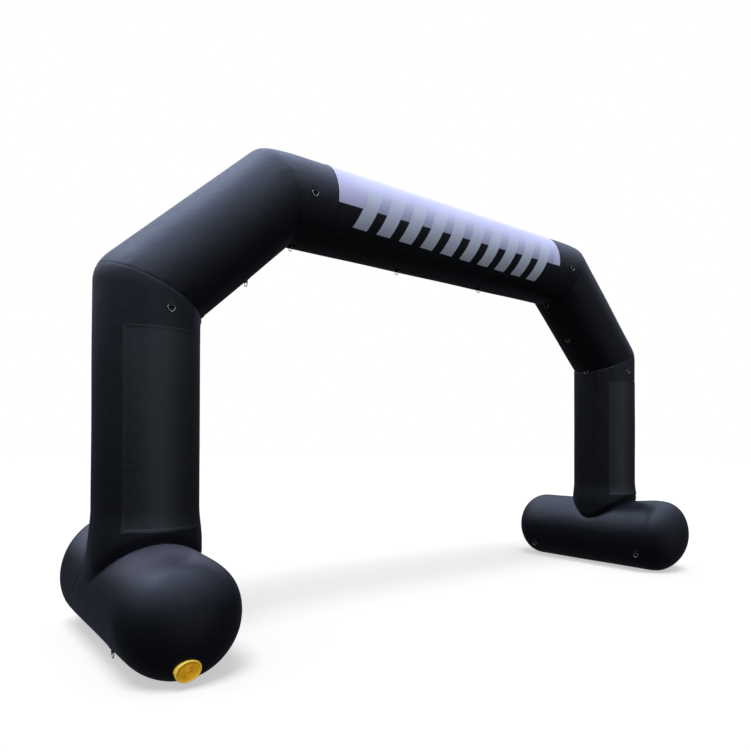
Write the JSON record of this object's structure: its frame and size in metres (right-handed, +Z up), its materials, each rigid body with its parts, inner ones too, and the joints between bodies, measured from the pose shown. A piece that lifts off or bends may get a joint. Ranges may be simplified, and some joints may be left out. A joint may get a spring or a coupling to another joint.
{
  "type": "inflatable arch",
  "caption": "Inflatable start and finish arch: round mitred tubes form two legs, slanting shoulders and a level beam, on two lying foot tubes, with cloth banners, tie rings and an air inlet",
  "frame": {"origin": "on the ground, midway between the legs and midway along the feet", "axes": "+X to the right along the span seen from the front, +Y to the back along the feet, +Z up"},
  "size_m": [6.1584, 2.11, 3.6443],
  "materials": {
    "tube_cloth": "coated black cloth with a broad soft sheen",
    "banner_cloth": "matt dark grey cloth",
    "banner_print": "matt cloth, pale lilac above and black below",
    "webbing": "woven black webbing",
    "ring_steel": "plated steel wire",
    "port_rim": "pale yellow plastic",
    "port_face": "ochre plastic"
  },
  "bodies": {
    "root": {"banner_beam": "banner_print", "banner_left": "banner_cloth", "banner_right": "banner_cloth", "beam": "tube_cloth", "foot_left": "tube_cloth", "foot_right": "tube_cloth", "port_face": "port_face", "port_rim": "port_rim", "post_left": "tube_cloth", "post_right": "tube_cloth", "ring_beam_back_left": "ring_steel", "ring_beam_back_right": "ring_steel", "ring_beam_front_left": "ring_steel", "ring_beam_front_right": "ring_steel", "ring_beam_under_left": "ring_steel", "ring_beam_under_right": "ring_steel", "ring_corner_high_left": "ring_steel", "ring_corner_high_right": "ring_steel", "ring_corner_low_left": "ring_steel", "ring_corner_low_right": "ring_steel", "ring_foot_far_left": "ring_steel", "ring_foot_far_right": "ring_steel", "ring_foot_near_left": "ring_steel", "ring_foot_near_right": "ring_steel", "ring_foot_out_left": "ring_steel", "ring_foot_out_right": "ring_steel", "ring_leg_back_left": "ring_steel", "ring_leg_back_right": "ring_steel", "ring_leg_front_left": "ring_steel", "ring_leg_front_right": "ring_steel", "ring_shoulder_left": "ring_steel", "ring_shoulder_right": "ring_steel", "shoulder_left": "tube_cloth", "shoulder_right": "tube_cloth", "tab_beam_back_left": "webbing", "tab_beam_back_right": "webbing", "tab_beam_front_left": "webbing", "tab_beam_front_right": "webbing", "tab_beam_under_left": "webbing", "tab_beam_under_right": "webbing", "tab_corner_high_left": "webbing", "tab_corner_high_right": "webbing", "tab_corner_low_left": "webbing", "tab_corner_low_right": "webbing", "tab_foot_far_left": "webbing", "tab_foot_far_right": "webbing", "tab_foot_near_left": "webbing", "tab_foot_near_right": "webbing", "tab_foot_out_left": "webbing", "tab_foot_out_right": "webbing", "tab_leg_back_left": "webbing", "tab_leg_back_right": "webbing", "tab_leg_front_left": "webbing", "tab_leg_front_right": "webbing", "tab_shoulder_left": "webbing", "tab_shoulder_right": "webbing"}
  },
  "joints": []
}
